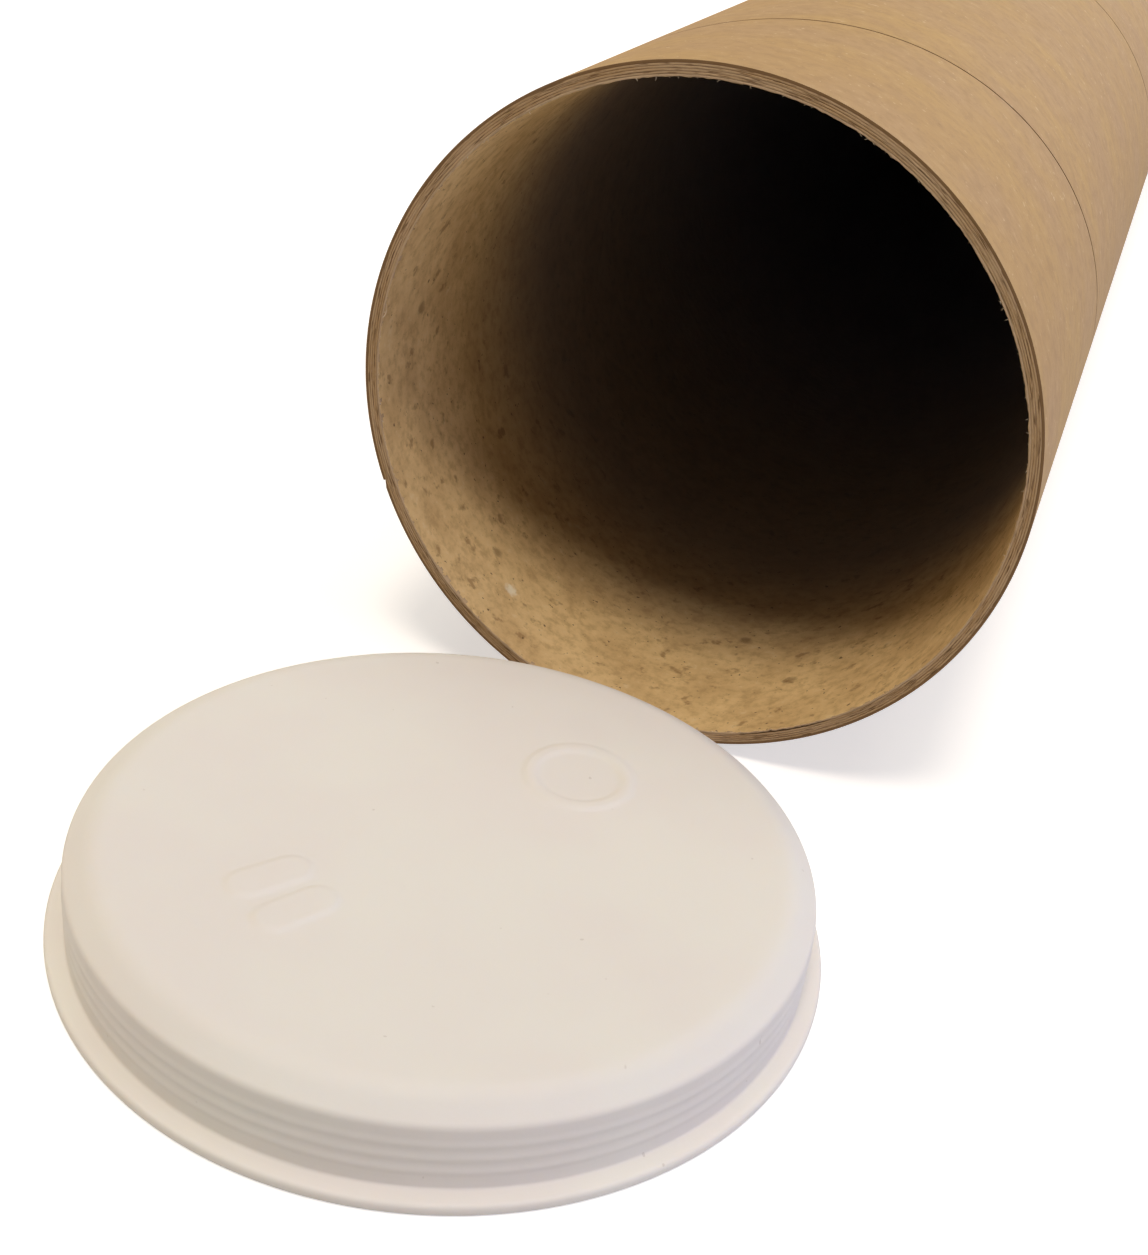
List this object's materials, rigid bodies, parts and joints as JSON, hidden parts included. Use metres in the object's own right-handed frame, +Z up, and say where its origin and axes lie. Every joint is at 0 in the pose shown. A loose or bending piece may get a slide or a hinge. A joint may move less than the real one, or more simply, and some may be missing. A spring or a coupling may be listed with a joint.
{
  "type": "round mailing tube",
  "caption": "Round wound-board mailing tube lying on its side, a ribbed push-in plastic cap in its far end and the matching cap taken off, face up, beside the open mouth.",
  "frame": {"origin": "on the floor, under the middle of the box round the tube and the loose cap", "axes": "+Y along the tube, away from its open mouth; +Z up; +X to the right of someone looking into the mouth"},
  "size_m": [0.0896, 0.539, 0.0835],
  "materials": {
    "wound_board": "matt brown kraft paper, spiral wound",
    "white_plastic": "soft satin moulded polyethylene"
  },
  "bodies": {
    "tube": {"tube": "wound_board", "front_cap": "white_plastic"},
    "rear_cap": {"rear_cap": "white_plastic"}
  },
  "joints": [
    {"name": "rear_cap_pull", "type": "slide", "parent": "tube", "child": "rear_cap", "axis": [0, 1, 0], "range_m": [0, 0.04]}
  ]
}
